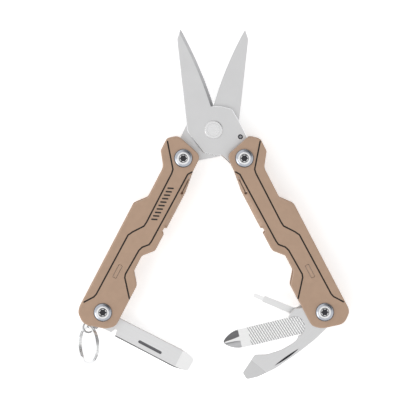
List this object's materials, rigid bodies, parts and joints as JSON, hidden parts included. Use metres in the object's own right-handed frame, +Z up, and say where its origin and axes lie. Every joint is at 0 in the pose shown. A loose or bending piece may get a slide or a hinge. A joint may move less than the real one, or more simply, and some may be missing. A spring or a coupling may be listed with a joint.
{
  "type": "folding keychain multi tool",
  "caption": "Small folding multi tool with spring scissors between two channel handles that hold a package opener, file with cross tip, bottle opener and small driver, with a key ring.",
  "frame": {"origin": "middle of the base of the bounding box, with the tool lying flat on its rear screw heads", "axes": "+Z is up through the thickness, +Y towards the blade tips, +X to the right seen from the front face"},
  "size_m": [0.0873, 0.1125, 0.0118],
  "materials": {
    "coated_handle": "matt tan coating on folded steel sheet",
    "blade_steel": "satin, bead blasted",
    "tool_steel": "satin",
    "rivet_steel": "fine turned",
    "pivot_hardware": "polished",
    "spacer_steel": "plain",
    "spring_steel": "plain dark steel",
    "ring_plating": "bright nickel"
  },
  "bodies": {
    "front_jaw": {"front_blade": "blade_steel", "scissor_rivet": "rivet_steel", "scissor_spring": "spring_steel"},
    "rear_jaw": {"rear_blade": "blade_steel"},
    "right_handle": {"right_frame": "coated_handle", "right_tool_spring": "spring_steel", "right_upper_front_spacer": "spacer_steel", "right_upper_rear_spacer": "spacer_steel", "right_lower_spacer": "spacer_steel", "right_upper_pivot_screw": "pivot_hardware", "right_upper_pivot_post": "pivot_hardware", "right_lower_pivot_screw": "pivot_hardware", "right_lower_pivot_post": "pivot_hardware"},
    "left_handle": {"left_frame": "coated_handle", "left_tool_spring": "spring_steel", "left_upper_front_spacer": "spacer_steel", "left_upper_rear_spacer": "spacer_steel", "left_lower_middle_spacer": "spacer_steel", "left_lower_front_spacer": "spacer_steel", "left_upper_pivot_screw": "pivot_hardware", "left_upper_pivot_post": "pivot_hardware", "left_lower_pivot_screw": "pivot_hardware", "left_lower_pivot_post": "pivot_hardware"},
    "bottle_opener_tool": {"bottle_opener": "tool_steel"},
    "file_tool": {"file_driver": "tool_steel"},
    "small_driver_tool": {"small_driver": "tool_steel"},
    "package_opener_tool": {"package_opener": "tool_steel"},
    "bail": {"lanyard_bail": "ring_plating"},
    "ring": {"key_ring": "ring_plating"}
  },
  "joints": [
    {"name": "scissor_pivot", "type": "hinge", "parent": "front_jaw", "child": "rear_jaw", "pos_m": [0.00033, 0.02396, 0.0059], "axis": [0, 0, -1], "range_deg": [-31, 0], "stiffness_Nm_per_rad": 0.05, "springref_deg": 20.05, "deforming": ["scissor_spring"]},
    {"name": "left_handle_pivot", "type": "hinge", "parent": "rear_jaw", "child": "left_handle", "pos_m": [-0.00946, 0.0149, 0.0059], "axis": [0, 0, -1], "range_deg": [0, 152]},
    {"name": "right_handle_pivot", "type": "hinge", "parent": "front_jaw", "child": "right_handle", "pos_m": [0.01012, 0.0149, 0.0059], "axis": [0, 0, 1], "range_deg": [0, 152]},
    {"name": "bottle_opener_pivot", "type": "hinge", "parent": "right_handle", "child": "bottle_opener_tool", "pos_m": [0.03597, -0.03455, 0.0059], "axis": [0, 0, 1], "range_deg": [-101.3, 78.7]},
    {"name": "file_pivot", "type": "hinge", "parent": "right_handle", "child": "file_tool", "pos_m": [0.03597, -0.03455, 0.0059], "axis": [0, 0, 1], "range_deg": [-75.8, 104.2]},
    {"name": "small_driver_pivot", "type": "hinge", "parent": "right_handle", "child": "small_driver_tool", "pos_m": [0.03597, -0.03455, 0.0059], "axis": [0, 0, 1], "range_deg": [-39.2, 140.8]},
    {"name": "package_opener_pivot", "type": "hinge", "parent": "left_handle", "child": "package_opener_tool", "pos_m": [-0.03531, -0.03455, 0.0059], "axis": [0, 0, -1], "range_deg": [-89.5, 60]},
    {"name": "bail_pivot", "type": "hinge", "parent": "left_handle", "child": "bail", "pos_m": [-0.03531, -0.03455, 0.0059], "axis": [0, 0, -1], "range_deg": [-50, 18]},
    {"name": "ring_link", "type": "hinge", "parent": "bail", "child": "ring", "pos_m": [-0.03995, -0.03966, 0.0059], "axis": [0, 0, 1], "range_deg": [-20, 20]}
  ]
}
